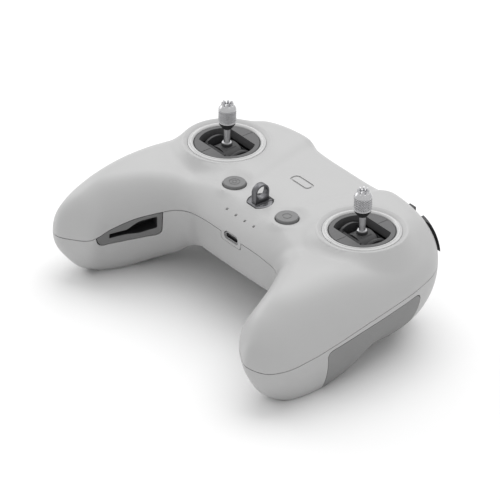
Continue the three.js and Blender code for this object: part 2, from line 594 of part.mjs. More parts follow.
function antennaSolid(side) {
  const plate = box(6, 26, 53, 54, 39, 50).intersect(crownRoom);
  return onSide(side, plate);
}

function screwSolid(screw) {
  const head = screw.seamZ - 8;
  const body = revolve([
    [0, head], [2.5, head], [2.5, head + 1.7], [0.8, head + 1.7], [0.8, screw.seamZ + 7], [0, screw.seamZ + 8],
  ], 10);
  const drive = [0, Math.PI / 2].map((turn) => solid(
    new THREE.BoxGeometry(2.8, 0.6, 1.6).rotateZ(turn).translate(0, 0, head)));
  return cut(body, ...drive);
}

// ---------------------------------------------------------------- shoulder pieces
function switchLever(item) {
  const half = item.width / 2;
  return joined(
    box(item.x - half, item.x + half, item.y - 8, item.tipY, item.z - item.height / 2, item.z + item.height / 2),
    box(item.x - 5, item.x + 5, item.y - 9.6, item.y - 7.8, item.z - 2.6, item.z + 1.2),
  );
}

function toggleSolid(item) {
  const half = item.width / 2;
  const shape = new THREE.Shape();
  shape.absarc(-TOGGLE.pivotIn, 0, 2.2, Math.PI / 2, 1.5 * Math.PI, false);
  shape.lineTo(TOGGLE.reach, -TOGGLE.half + 0.6);
  shape.lineTo(TOGGLE.reach, TOGGLE.half - 0.6);
  return prismAlongX(shape, item.x - half, item.x + half, 8).translate([0, item.y, item.z]);
}

function dialSolid() {
  const half = DIAL.width / 2;
  const wheel = rod(DIAL.r, [DIAL.x - half, DIAL.y, DIAL.z], [DIAL.x + half, DIAL.y, DIAL.z], 24);
  const bore = rod(DIAL.axleR + GAP, [DIAL.x - 9, DIAL.y, DIAL.z], [DIAL.x + 9, DIAL.y, DIAL.z], 16);
  return cut(wheel, bore);
}

function axleSolid(margin) {
  const half = DIAL.axleHalf + margin;
  return rod(DIAL.axleR + margin, [DIAL.x - half, DIAL.y, DIAL.z], [DIAL.x + half, DIAL.y, DIAL.z], 12);
}

// ---------------------------------------------------------------- assembly
const controller = new THREE.Group();
controller.position.y = ORIGIN_Y;

function add(name, manifold, material, position = [0, 0, 0]) {
  const mesh = new THREE.Mesh(surface(manifold), material);
  mesh.name = name;
  mesh.position.set(...position);
  controller.add(mesh);
}

add('top_shell', topShell(), FINISH.shell);
add('bottom_shell', bottomShell(), FINISH.shell);

for (const [hand, side] of [['left', -1], ['right', 1]]) {
  const seat = [side * GIMBAL.x, GIMBAL.y, 0];
  add(`${hand}_grip_pad`, onSide(side, gripPad), FINISH.pad);
  add(`${hand}_storage_insert`, onSide(side, cut(insertBlock, insertPocket)), FINISH.dark);
  add(`${hand}_gimbal_ring`, ringSolid(), FINISH.ring, seat);
  add(`${hand}_gimbal_cover`, coverSolid(), FINISH.dark, seat);
  add(`${hand}_gimbal_housing`, housingSolid(), FINISH.black, seat);
  add(`${hand}_gimbal_drum`, drumSolid(), FINISH.dark, seat);
  add(`${hand}_stick`, stickSolid(), FINISH.steel, seat);
  add(`${hand}_stick_cone`, coneSolid(), FINISH.black, seat);
  add(`${hand}_thumb_cap`, capSolid(), FINISH.cap, seat);
  add(`${hand}_gimbal_sensor`, sensorSolid(side), FINISH.board, seat);
  add(`${hand}_gimbal_ribbon`, ribbonSolid(side), FINISH.black);
  add(`${hand}_antenna`, antennaSolid(side), FINISH.board);
  for (const screw of SCREWS) {
    add(`${hand}_${screw.where}_screw`, screwSolid(screw), FINISH.steel, [side * screw.x, screw.y, 0]);
  }
}

add('power_button', buttonSolid(), FINISH.key, [BUTTON.x, BUTTON.y, 0]);
add('custom_button', buttonSolid(), FINISH.key, [-BUTTON.x, BUTTON.y, 0]);
add('power_tact_switch', tactSolid(), FINISH.black, [BUTTON.x, BUTTON.y, 0]);
add('custom_tact_switch', tactSolid(), FINISH.black, [-BUTTON.x, BUTTON.y, 0]);
add('lanyard_hook', hookSolid(), FINISH.hook);
add('status_light_guide', lightGuide(), FINISH.clear);
add('button_board', plateSolid(BOARD), FINISH.board);
add('usb_port_shell', portShell(), FINISH.steel);
add('usb_port_tongue', box(-3.3, 3.3, PORT.frontY + 0.7, PORT.backY - 0.8, PORT.z - 0.35, PORT.z + 0.35), FINISH.black);
add('main_board', plateSolid(PCB), FINISH.board);
add('buzzer', disc(4.5, 38.0, 41.0, 24), FINISH.black, [-12, 18, 0]);
add('battery_cell', rod(CELL.r, [-CELL.half, CELL.y, CELL.z], [CELL.half, CELL.y, CELL.z], 32), FINISH.cell);
add('battery_holder', cellHolder(), FINISH.black);
for (const [name, key] of Object.entries(KEYS)) add(name, keySolid(key), FINISH.dark);
for (const [name, item] of Object.entries(SWITCHES)) add(name, switchLever(item), FINISH.dark);
for (const [name, item] of Object.entries(TOGGLES)) add(name, toggleSolid(item), FINISH.dark);
add('gimbal_dial', dialSolid(), FINISH.dark);
add('dial_axle', axleSolid(0), FINISH.steel);

export default controller;
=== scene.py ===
# Looks for the radio transmitter controller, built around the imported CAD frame.
# Shapes are written in millimetres in the part's design frame, and placed() turns them into metres.
import math

import bmesh
import bpy
import numpy as np
from mathutils import Matrix, Vector
from mathutils.bvhtree import BVHTree


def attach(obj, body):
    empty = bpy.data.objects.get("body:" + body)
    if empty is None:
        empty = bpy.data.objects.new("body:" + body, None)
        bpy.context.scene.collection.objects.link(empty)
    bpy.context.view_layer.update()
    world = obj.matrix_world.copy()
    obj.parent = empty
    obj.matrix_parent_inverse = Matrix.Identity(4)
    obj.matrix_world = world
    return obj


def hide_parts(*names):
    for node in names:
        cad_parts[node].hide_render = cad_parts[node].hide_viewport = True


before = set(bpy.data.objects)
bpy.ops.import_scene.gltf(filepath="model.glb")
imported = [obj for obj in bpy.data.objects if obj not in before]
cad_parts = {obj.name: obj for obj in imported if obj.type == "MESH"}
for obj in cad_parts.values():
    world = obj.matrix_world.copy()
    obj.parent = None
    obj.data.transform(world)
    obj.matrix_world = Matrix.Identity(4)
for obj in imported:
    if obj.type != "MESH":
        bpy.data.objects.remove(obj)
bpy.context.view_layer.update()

# ---------------------------------------------------------------- driving dimensions, as in the CAD part
ORIGIN_Y = -0.55
SEAM = 0.17
FIT = (0.9995, 0.9995, 1.0)  # keeps the smooth casing inside the faceted part
GAP = 0.3

GIMBAL = {"x": 48.5, "y": 21.8, "plate": 54.2, "pivot": 44.8}
PEDESTAL = {"lip": 55.05, "foot": 27.2, "edge": 21.0, "funnel": 19.7, "bore": 18.0, "power": 1.75}
RING = {"outer": 17.7, "inner": 15.3, "top": 54.9, "bottom": 53.2}
COVER = {"r": 15.0, "window": 12.9, "half": 8.8, "skirt": 49.8}
DRUM = {"r": 8.7, "half": 9.8, "slot": 8.2, "slot_half": 4.95, "inner_half": 6.2}
PIN = {"r": 1.2, "hole": 1.55, "end": 8.3}
SHUTTER = {"r": 8.0, "inner": 6.8, "half": 4.7, "angle": math.radians(50)}
STICK = {"r": 1.5, "cone": 61.5, "cap": 64.6}
CAP = {"r": 4.15, "shoulder": 72.1, "crown": 75.05, "teeth": 8, "knurls": 22, "rows": 7}
BUTTON = {"x": 18.9, "y": 2.9, "r": 5.15, "top": 54.1, "bottom": 47.6, "seat": 52.85, "seat_r": 6.2,
          "foot": 9.8, "flange_r": 6.1, "flange_top": 48.0, "flange_hole": 6.6, "hole_top": 48.4}
HOOK = {"y": 2.7, "base": 51.6, "top": 53.0, "r": 5.9, "half": 5.0, "eye": 57.9, "eye_r": 2.9, "width": 3.1}
LEDS = {"pitch": 6.4, "y": -8.5, "width": 1.3, "depth": 0.9}
PORT = {"z": 39.5, "half": 5.1, "height": 4.0}
TAB = {"half": 7.0, "top": 40.6, "bottom": 36.4, "radius": 3.4, "y": -13.8, "depth": 2.2}
PAD = {"front": -24.0, "back": 33.0, "thickness": 1.2, "inner": 57.0}
INSERT = {"x": 47.5, "y": -33.5, "heading": 205.0, "back": -14.1, "tip": 16.2, "high": 46.0, "depth": 10.5}
COUNTERBORES = [(66, -42, 20.0), (31.5, -4, 31.6), (55.5, 45.5, 29.8)]
COUNTERBORE_R = 2.9
FINE = {"per_rib": 10, "across": 64}  # steps of the visible casing surfaces
CAMERA = {"azimuth": 51.114, "elevation": 31.216, "roll": 1.032, "distance": 2522, "lens": 403.4,
          "target": (0, -1.0, 14.9), "across": -1.115, "up": 11.70}

# Openings in the shell round the small rear controls: two opposite corners.
WINDOWS = {
    "switch_window": ((32, 52.5, 44.4), (43, 66.5, 48.2)),
    "right_toggle_window": ((26.5, 51.4, 38.5), (30.7, 69.4, 48.5)),
    "left_toggle_window": ((-64.1, 47.2, 37.5), (-59.9, 65.2, 47.5)),
    "dial_window": ((-51.5, 46.6, 36.5), (-44.5, 67.4, 49.9)),
}

# Shoulder keys cut from the crown: centre, facing, size, depth, and how far they stand out.
KEYS = {
    "record_button": {"x": 56, "y": 54.9, "z": 43.6, "heading": 90, "width": 15, "height": 10.8,
                      "inward": 0, "proud": 1.3},
    "pause_button": {"x": -33, "y": 56, "z": 43.6, "heading": 90, "width": 9, "height": 5,
                     "inward": 5, "proud": 0.45},
}

# Ribs from the grip tip to the middle of the body: the inner and outer ends of the parting line, then
# for crown and belly the height at the inner and outer end, the bulge and the two rounding widths.
RIBS = [
    ((69, -59.5, 23.8), (69, -59.5, 23.8), (38, 35, 3, 15, 15), (10, 9.5, 0, 20, 20)),
    ((61.8, -56.4, 24.2), (77.5, -55.2, 22.6), (39.5, 36, 2, 15, 16.5), (12, 6.8, 0.6, 21, 17.5)),
    ((54, -51.2, 25.6), (81.6, -46.5, 22.8), (42, 39, 3.5, 15, 18), (6, 5.6, 2.5, 22, 17)),
    ((51.2, -42, 29.5), (82.5, -33.5, 24.2), (47, 44, 4, 14, 20), (2.5, 1.8, 5, 24, 15.5)),
    ((47.4, -32.5, 33), (82.2, -18, 26.7), (49, 49, 3, 12, 20.5), (2, 0.5, 5, 24, 16)),
    ((42.6, -24, 35.3), (81.2, -2, 29.5), (50, 51, 2.5, 11, 21.5), (3.5, 2, 3, 23, 16.5)),
    ((37, -16.5, 37.2), (80, 14, 32), (49.5, 50.5, 2, 10.5, 22), (8, 10, 3.5, 18, 18.5)),
    ((31, -13.9, 38.3), (77.6, 31, 34.2), (48.8, 49.5, 1.5, 10, 21.5), (20, 11, 8.5, 12, 18.5)),
    ((24, -13.8, 39.4), (71.4, 46.2, 35.5), (49.3, 49.4, 3.1, 11, 19.5), (24.8, 10, 11.5, 4, 19)),
    ((17, -13.8, 39.9), (59.2, 56, 36.5), (50.2, 53.4, 2.9, 12, 14.5), (24.8, 6, 12.5, 3, 18)),
    ((10, -13.8, 39.9), (33.5, 60.2, 37), (50.8, 54.3, 2.6, 12, 11), (24.8, 3, 13.5, 3, 16)),
    ((6, -13.8, 39.9), (24, 58.4, 37), (50.8, 52.2, 2.6, 12, 10.5), (24.8, 2.5, 13, 3, 16)),
    ((0, -13.8, 39.9), (0, 57.6, 37), (50.8, 52.3, 2.6, 12, 10.5), (24.8, 2, 13, 3, 16)),
]
LAST = len(RIBS) - 1
ROUNDNESS = {"crown": 2.2, "belly": 2.0, "front": 1.5}


# ---------------------------------------------------------------- materials
def material(name, color, rough, metallic=0.0, grain=0.5, bump=0.1, mottle=0.05, coat=0.0):
    """A moulded or machined finish: grain is the size of its texture in millimetres."""
    mat = bpy.data.materials.new(name)
    mat.use_nodes = True
    nodes, links = mat.node_tree.nodes, mat.node_tree.links
    shader = nodes["Principled BSDF"]
    shader.inputs["Metallic"].default_value = metallic
    shader.inputs["Coat Weight"].default_value = coat
    shader.inputs["Coat Roughness"].default_value = 0.25
    place = nodes.new("ShaderNodeTexCoord")
    fine = nodes.new("ShaderNodeTexNoise")
    fine.inputs["Scale"].default_value = 1000.0 / grain
    fine.inputs["Detail"].default_value = 3.0
    broad = nodes.new("ShaderNodeTexNoise")
    broad.inputs["Scale"].default_value = 45.0
    broad.inputs["Detail"].default_value = 4.0
    for noise in (fine, broad):
        links.new(place.outputs["Object"], noise.inputs["Vector"])
    tint = nodes.new("ShaderNodeMix")
    tint.data_type = "RGBA"
    tint.inputs["A"].default_value = [c * (1 - mottle) for c in color] + [1]
    tint.inputs["B"].default_value = [min(c * (1 + mottle), 1) for c in color] + [1]
    links.new(broad.outputs["Fac"], tint.inputs["Factor"])
    links.new(tint.outputs["Result"], shader.inputs["Base Color"])
    sheen = nodes.new("ShaderNodeMapRange")
    sheen.inputs["To Min"].default_value = rough - 0.06
    sheen.inputs["To Max"].default_value = rough + 0.06
    links.new(fine.outputs["Fac"], sheen.inputs["Value"])
    links.new(sheen.outputs["Result"], shader.inputs["Roughness"])
    relief = nodes.new("ShaderNodeBump")
    relief.inputs["Strength"].default_value = bump
    relief.inputs["Distance"].default_value = grain * 0.0002
    links.new(fine.outputs["Fac"], relief.inputs["Height"])
    links.new(relief.outputs["Normal"], shader.inputs["Normal"])
    return mat


SHELL = material("shell_plastic", (0.43, 0.43, 0.43), 0.43, grain=0.5, bump=0.25, mottle=0.02)
PAD_RUBBER = material("pad_rubber", (0.23, 0.23, 0.23), 0.72, grain=0.7, bump=0.6, mottle=0.04)
INSERT_PLASTIC = material("insert_plastic", (0.145, 0.145, 0.145), 0.55, grain=0.6, bump=0.3)
PLATE = material("plate_plastic", (0.092, 0.092, 0.094), 0.5, grain=0.5, bump=0.3)
DARK = material("dark_plastic", (0.034, 0.034, 0.036), 0.55, grain=0.6, bump=0.3)
BLACK = material("black_plastic", (0.02, 0.02, 0.021), 0.5, grain=0.6, bump=0.3)
TRIM = material("trim_ring_plastic", (0.5, 0.5, 0.5), 0.22, grain=0.8, bump=0.05, coat=0.4)
KEY = material("button_plastic", (0.155, 0.155, 0.157), 0.42, grain=0.5, bump=0.2)
STEEL = material("shaft_steel", (0.42, 0.42, 0.43), 0.3, metallic=1.0, grain=0.8, bump=0.15)
KNURL = material("knurled_aluminium", (0.56, 0.56, 0.57), 0.26, metallic=1.0, grain=0.4, bump=0.15)
GUNMETAL = material("hook_gunmetal", (0.16, 0.16, 0.168), 0.36, metallic=1.0, grain=0.5, bump=0.15)
PORT_STEEL = material("port_steel", (0.5, 0.5, 0.51), 0.3, metallic=1.0, grain=0.6, bump=0.1)
BOARD = material("board_solder_mask", (0.02, 0.1, 0.05), 0.4, grain=1.2, bump=0.3)
CELL = material("cell_wrap", (0.03, 0.07, 0.25), 0.35, grain=2.0, bump=0.1)
CLEAR = material("frosted_light_guide", (0.09, 0.09, 0.09), 0.35, grain=0.6, bump=0.2)
FLOOR = material("studio_floor", (0.86, 0.86, 0.86), 0.8, grain=4.0, bump=0.0, mottle=0.0)


# ---------------------------------------------------------------- mesh helpers
def new_object(name, verts, faces):
    mesh = bpy.data.meshes.new(name)
    mesh.from_pydata([tuple(map(float, v)) for v in verts], [], [tuple(map(int, f)) for f in faces])
    mesh.validate()
    obj = bpy.data.objects.new(name, mesh)
    bpy.context.scene.collection.objects.link(obj)
    return obj


def grid(name, points, closed_u=False, closed_v=False, caps=False):
    """A surface through points[row][column]. Caps close the first and last row."""
    rows, columns = points.shape[:2]
    index = np.arange(rows * columns).reshape(rows, columns)
    faces = []
    for i in range(rows if closed_u else rows - 1):
        for j in range(columns if closed_v else columns - 1):
            i2, j2 = (i + 1) % rows, (j + 1) % columns
            faces.append((index[i, j], index[i2, j], index[i2, j2], index[i, j2]))
    if caps:
        faces += [index[0], index[-1][::-1]]
    return new_object(name, points.reshape(-1, 3), faces)


def outward(obj):
    """Merges doubled points and turns every face out."""
    bm = bmesh.new()
    bm.from_mesh(obj.data)
    bmesh.ops.remove_doubles(bm, verts=bm.verts, dist=1e-5)
    bmesh.ops.dissolve_degenerate(bm, dist=1e-6, edges=bm.edges)
    bmesh.ops.recalc_face_normals(bm, faces=bm.faces)
    bm.to_mesh(obj.data)
    bm.free()
    return obj


def sweep(name, profile, segments=96, x=0.0, y=0.0, closed=True):
    """Turns radius, height pairs about the vertical through x, y. The profile may depend on the angle."""
    rows = []
    for k in range(segments):
        angle = 2 * math.pi * k / segments
        pairs = profile(angle) if callable(profile) else profile
        rows.append([(x + r * math.cos(angle), y + r * math.sin(angle), z) for r, z in pairs])
    return outward(grid(name, np.array(rows), closed_u=True, closed_v=closed))


def extruded(name, outline, along, start, end):
    """A closed outline of 2D points, carried along X, Y or Z from start to end."""
    order = {
        "x": lambda a, b, t: (t, a, b),
        "y": lambda a, b, t: (a, t, b),
        "z": lambda a, b, t: (a, b, t),
    }
    rows = [[order[along](a, b, t) for a, b in outline] for t in (start, end)]
    return outward(grid(name, np.array(rows, float), closed_v=True, caps=True))


def circle(r, z, steps=24):
    """Points round a circle in an upright plane, centred at height z."""
    return [(r * math.cos(a), z + r * math.sin(a)) for a in np.linspace(0, 2 * math.pi, steps + 1)[:-1]]


def rounded_outline(corners, radius, steps=6):
    """The outline through corners with each corner rounded."""
    result = []
    count = len(corners)
    for i in range(count):
        here = Vector(corners[i])
        before = Vector(corners[i - 1]) - here
        after = Vector(corners[(i + 1) % count]) - here
        r = radius[i] if isinstance(radius, (list, tuple)) else radius
        reach = min(r, before.length * 0.45, after.length * 0.45)
        start, end = here + before.normalized() * reach, here + after.normalized() * reach
        for s in range(steps + 1):
            t = s / steps
            result.append(tuple(start.lerp(here, t).lerp(here.lerp(end, t), t)))
    return result


def shrunk(outline, distance):
    """A closed outline moved inwards by a small distance."""
    points = np.array(outline)
    keep = np.linalg.norm(points - np.roll(points, 1, 0), axis=1) > 1e-4
    points = points[keep]
    along = np.roll(points, -1, 0) - np.roll(points, 1, 0)
    along /= np.linalg.norm(along, axis=1)[:, None]
    area = np.sum(points[:, 0] * np.roll(points[:, 1], -1) - points[:, 1] * np.roll(points[:, 0], -1))
    inwards = np.stack([-along[:, 1], along[:, 0]], 1) * np.sign(area)
    return [tuple(p) for p in points + distance * inwards]


def boolean(obj, tools, operation="DIFFERENCE"):
    """Cuts the tools out of obj, or keeps what they share, and removes the tools."""
    for tool in tools:
        step = obj.modifiers.new("cut", "BOOLEAN")
        step.operation = operation
        step.solver = "EXACT"
        step.object = tool
    graph = bpy.context.evaluated_depsgraph_get()
    result = bpy.data.meshes.new_from_object(obj.evaluated_get(graph))
    obj.modifiers.clear()
    obj.data = result
    for tool in tools:
        bpy.data.objects.remove(tool)
    return obj


def duplicate(obj, name):
    copy = bpy.data.objects.new(name, obj.data.copy())
    bpy.context.scene.collection.objects.link(copy)
    return copy


def mirrored(obj, name):
    copy = duplicate(obj, name)
    copy.data.transform(Matrix.Diagonal((-1, 1, 1, 1)))
    copy.data.flip_normals()
    return copy


def both_sides(obj):
    return [obj, mirrored(obj, obj.name + "_mirrored")]


def joined(name, parts):
    bm = bmesh.new()
    for part in parts:
        bm.from_mesh(part.data)
    mesh = bpy.data.meshes.new(name)
    bm.to_mesh(mesh)
    bm.free()
    for part in parts:
        bpy.data.objects.remove(part)
    obj = bpy.data.objects.new(name, mesh)
    bpy.context.scene.collection.objects.link(obj)
    return obj


def placed(obj, body, mat, nodes=(), sharp=32, offset=(0, 0, 0)):
    """Turns a piece from millimetres into the frame, shades it and lets it ride on its body."""
    shift = Matrix.Translation(Vector(offset) + Vector((0, ORIGIN_Y, 0)))
    obj.data.transform(Matrix.Scale(0.001, 4) @ shift)
    obj.data.shade_smooth()
    obj.data.set_sharp_from_angle(angle=math.radians(sharp))
    obj.data.materials.clear()
    obj.data.materials.append(mat)
    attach(obj, body)
    if nodes:
        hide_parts(*nodes)
    return obj


# ---------------------------------------------------------------- casing surface
RIGHT_RIM = [rib[0] for rib in RIBS[:0:-1]] + [rib[1] for rib in RIBS]
RIM = np.array(RIGHT_RIM + [(-x, y, z) for x, y, z in RIGHT_RIM[-2:0:-1]], float)


def rim_curve(t):
    """The parting line, a closed centripetal Catmull-Rom curve through the rib ends."""
    count = len(RIM)
    i = np.floor(t).astype(int)
    w = (t - i)[..., None]
    p0, p1, p2, p3 = [RIM[(i + k) % count] for k in (-1, 0, 1, 2)]
    pairs = ((p0, p1), (p1, p2), (p2, p3))
    a, b, c = [np.maximum(np.sum((q - p) ** 2, -1) ** 0.25, 1e-4)[..., None] for p, q in pairs]
    t1 = ((p1 - p0) / a - (p2 - p0) / (a + b) + (p2 - p1) / b) * b
    t2 = ((p2 - p1) / b - (p3 - p1) / (b + c) + (p3 - p2) / c) * b
    return p1 + t1 * w + (3 * (p2 - p1) - 2 * t1 - t2) * w**2 + (2 * (p1 - p2) + t1 + t2) * w**3


def rim_points(rib, side, inset):
    t = LAST + side * rib
    tangent = rim_curve(t + 0.003) - rim_curve(t - 0.003)
    tangent[..., 2] = 0
    tangent /= np.linalg.norm(tangent, axis=-1)[..., None]
    inwards = np.stack([-tangent[..., 1], tangent[..., 0], 0 * t], -1)
    return rim_curve(t) + inset * inwards


def rib_values(kind, rib):
    table = np.array([r[2] if kind == "crown" else r[3] for r in RIBS], float)
    table = np.concatenate([table[1:2], table, table[LAST - 1 : LAST], table[LAST - 2 : LAST - 1]])
    k = np.minimum(np.floor(rib).astype(int), LAST - 1)
    w = (rib - k)[..., None]
    a, b, c, d = [table[k + n] for n in range(4)]
    m, n = (c - a) / 2, (d - b) / 2
    return b + m * w + (3 * c - 3 * b - 2 * m - n) * w**2 + (2 * b - 2 * c + m + n) * w**3


def rounding(distance, width, power):
    return (1 - (1 - np.clip(distance / width, 0, 1)) ** power) ** (1 / power)


def inner_power(kind, rib):
    """The rounding of the inner end, which turns softer along the front edge between the grips."""
    share = np.clip((rib - 5) / 3, 0, 1) if kind == "crown" else 0
    return ROUNDNESS[kind] + (ROUNDNESS["front"] - ROUNDNESS[kind]) * share


def casing_points(kind, inset, rib, w):
    up = 1 if kind == "crown" else -1
    inner, outer = rim_points(rib, -1, inset), rim_points(rib, 1, inset)
    length = np.linalg.norm((outer - inner)[..., :2], axis=-1)
    z_in, z_out, bulge, r_in, r_out = np.moveaxis(rib_values(kind, rib), -1, 0)
    fill = rounding(w * length, np.maximum(r_in - inset, 0.8), inner_power(kind, rib))
    fill = fill * rounding((1 - w) * length, np.maximum(r_out - inset, 0.8), ROUNDNESS[kind])
    points = inner * (1 - w)[..., None] + outer * w[..., None]
    seam = points[..., 2] + up * SEAM
    full = z_in * (1 - w) + z_out * w + up * (4 * bulge * w * (1 - w) - inset)
    z = seam + (full - seam) * fill
    points[..., 2] = z if up > 0 else np.maximum(z, max(inset, 0.0))
    return points * FIT


def casing_grid(kind, inset, per_rib, across):
    tip = np.linspace(0, 1, per_rib + 4)[:-1] ** 2
    ribs = np.concatenate([tip, np.linspace(1, LAST, (LAST - 1) * per_rib + 1)])
    w = (1 - np.cos(np.pi * np.linspace(0, 1, across + 1))) / 2
    rib, w = np.meshgrid(ribs, w, indexing="ij")
    half = casing_points(kind, inset, rib, w)
    return np.concatenate([half, half[-2::-1] * [-1, 1, 1]])


def raised(points):
    """Lifts the crown into the gimbals' round pedestals, and levels it round the two buttons."""
    for side in (-1, 1):
        r = np.hypot(points[..., 0] - side * GIMBAL["x"], points[..., 1] - GIMBAL["y"])
        share = np.clip((PEDESTAL["foot"] - r) / (PEDESTAL["foot"] - PEDESTAL["edge"] + 0.3), 0, 1)
        share = share ** PEDESTAL["power"]
        points[..., 2] += (PEDESTAL["lip"] - points[..., 2]) * share
        r = np.hypot(points[..., 0] - side * BUTTON["x"], points[..., 1] - BUTTON["y"])
        share = np.clip((BUTTON["foot"] - r) / (BUTTON["foot"] - BUTTON["seat_r"]), 0, 1)
        points[..., 2] += (BUTTON["seat"] - points[..., 2]) * share * share * (3 - 2 * share)
    return points


def casing(name, kind, inset=0.0, per_rib=3, across=16, skirt=0.0, pedestals=False):
    points = casing_grid(kind, inset, per_rib, across)
    if pedestals:
        points = raised(points)
    if skirt:
        feet = points[:, [-1, 0]].copy()
        feet[..., 2] -= skirt if kind == "crown" else -skirt
        points = np.concatenate([points, feet], 1)
    return outward(grid(name, points, closed_v=True, caps=True))


# ---------------------------------------------------------------- cutters for the shells
def pad_outline(margin):
    front, back = PAD["front"] - margin, PAD["back"] + margin
    corners = [(back, -3), (back, 31.9 + margin), (front, 23.7 + margin), (front + 3, 3), (front + 5, -3)]
    return rounded_outline(corners, [0.1, 5.5, 3.5, 6, 0.1], 8)


def pad_region(name, margin):
    return extruded(name, pad_outline(margin), "x", PAD["inner"] - margin, 95)


def facing(name, outline, inward, outwards):
    """An outline of (sideways, height) points at the storage insert, carried along its facing direction."""
    heading = math.radians(INSERT["heading"])
    out = np.array([math.cos(heading), math.sin(heading), 0])
    aside = np.array([-math.sin(heading), math.cos(heading), 0])
    origin = np.array([INSERT["x"], INSERT["y"], 0])
    flat = [aside * s + np.array([0, 0, z]) for s, z in outline]
    rows = [[origin + out * t + point for point in flat] for t in (-inward, outwards)]
    return outward(grid(name, np.array(rows, float), closed_v=True, caps=True))


def insert_outline(margin):
    """The leaf-shaped storage insert; its upper edge is the parting line."""
    back, tip, high = INSERT["back"] - margin, INSERT["tip"] + margin, INSERT["high"]
    low = [(back, 23.9 - margin), (0, 21.9 - margin), (tip, 21.6 - margin)]
    corners = low + [(tip, high), (back, high)]
    return rounded_outline(corners, [3.2, 9, 5.5, 0.1, 0.1], 10)


def pocket_outline():
    """The pocket for a stick: a wide bay, a taper and a slender end towards the grip's tip."""
    corners = [(10.2, 24.7), (10.2, 27.2), (2.0, 28.0), (-3.4, 31.8), (-11.9, 33.9), (-12.1, 27.7),
               (-4.0, 25.2), (2.4, 25.4)]
    return rounded_outline(corners, [0.5, 0.5, 1.2, 1.6, 0.9, 0.9, 1.6, 1.2], 5)


def stadium(half, height, z):
    r = height / 2
    turn = np.linspace(-math.pi / 2, math.pi / 2, 13)
    right = [(half - r + r * math.cos(a), z + r * math.sin(a)) for a in turn]
    return right + [(-x, 2 * z - h) for x, h in right]


def tab_outline(margin):
    half, low, top = TAB["half"] + margin, TAB["bottom"] - margin, TAB["top"]
    return rounded_outline([(-half, top), (-half, low), (half, low), (half, top)],
                           [0.1, TAB["radius"], TAB["radius"], 0.1], 8)


def band_outline(r, half, steps=20):
    reach = math.asin(half / r)
    turn = np.linspace(-reach, reach, steps)
    right = [(r * math.cos(a), r * math.sin(a)) for a in turn]
    return right + [(-x, -y) for x, y in right]


def block(name, low, high):
    (x0, y0, z0), (x1, y1, z1) = low, high
    return extruded(name, [(x0, y0), (x1, y0), (x1, y1), (x0, y1)], "z", z0, z1)


def turned_block(name, x, y, z, heading, width, height, inward, outwards):
    obj = block(name, (-inward, -width / 2, -height / 2), (outwards, width / 2, height / 2))
    turn = Matrix.Translation((x, y, z)) @ Matrix.Rotation(math.radians(heading), 4, "Z")
    obj.data.transform(turn)
    return obj


# ---------------------------------------------------------------- shells
def crown_height():
    """A function that gives the height of the finished crown above a point."""
    probe = casing("probe", "crown", **FINE, pedestals=True)
    mesh = probe.data
    tree = BVHTree.FromPolygons([v.co for v in mesh.vertices], [p.vertices for p in mesh.polygons])
    bpy.data.objects.remove(probe)
    return lambda x, y: tree.ray_cast(Vector((x, y, 100)), Vector((0, 0, -1)))[0].z


HEIGHT = crown_height()


def pedestal_lip(name, side):
    """The rounded lip and sloping funnel round a gimbal, meeting the crown at the pedestal's edge."""
    x = side * GIMBAL["x"]
    edge, lip, funnel, bore = PEDESTAL["edge"], PEDESTAL["lip"], PEDESTAL["funnel"], PEDESTAL["bore"]

    def profile(angle):
        r = edge + 0.05
        z = HEIGHT(x + r * math.cos(angle), GIMBAL["y"] + r * math.sin(angle))
        outside = [(r, 44), (r, z), (edge - 0.25, z + (lip - z) * 0.62), (edge - 0.5, lip - 0.06)]
        rim = [(edge - 0.75, lip), (funnel + 0.2, lip - 0.02), (funnel, lip - 0.1)]
        inside = [(funnel - 0.3, lip - 0.25), (bore + 0.2, lip - 0.8), (bore, lip - 1.0), (bore, 44)]
        return outside + rim + inside

    return sweep(name, profile, 128, x, GIMBAL["y"])


def deck_hole(name, r, x, y):
    """A round hole with a small chamfer where it meets the deck."""
    top = HEIGHT(x, y)
    profile = [(0, 46), (r, 46), (r, top - 0.35), (r + 0.75, top + 0.5), (0, top + 0.5)]
    return sweep(name, profile + [profile[0]], 64, x, y, closed=False)


def led_slot(name, k):
    """One slanted status light slot."""
    x = k * LEDS["pitch"]
    half, depth = LEDS["width"] / 2, LEDS["depth"] / 2
    corners = [(x - half, LEDS["y"] - depth - 0.15), (x + half, LEDS["y"] - depth + 0.15),
               (x + half, LEDS["y"] + depth + 0.15), (x - half, LEDS["y"] + depth - 0.15)]
    return extruded(name, rounded_outline(corners, 0.35, 3), "z", 44, 60)


def deck_mark():
    """A plain engraved pill outline, the generic mark in front of the rear edge."""
    outer = rounded_outline([(-6.5, 23.9), (6.5, 23.9), (6.5, 29.3), (-6.5, 29.3)], 2.65, 8)
    inner = rounded_outline([(-5.5, 24.9), (5.5, 24.9), (5.5, 28.3), (-5.5, 28.3)], 1.7, 8)
    ring = extruded("mark_outer", outer, "z", 40, 60)
    boolean(ring, [extruded("mark_inner", inner, "z", 30, 70)])
    floor = casing("mark_floor", "crown", inset=0.5, per_rib=6, across=40)
    return boolean(ring, [floor])


def rounded_key(name):
    """A shoulder key: a slice of the crown grown proud of the shell, with softened edges."""
    key = KEYS[name]
    skin = casing(name + "_skin", "crown", inset=-key["proud"], **FINE)
    size = (key["width"], key["height"], key["inward"], 12)
    keep = turned_block("keep", key["x"], key["y"], key["z"], key["heading"], *size)
    boolean(skin, [keep], "INTERSECT")
    soften(skin, 0.9)
    placed(skin, name, DARK, [name], sharp=40)


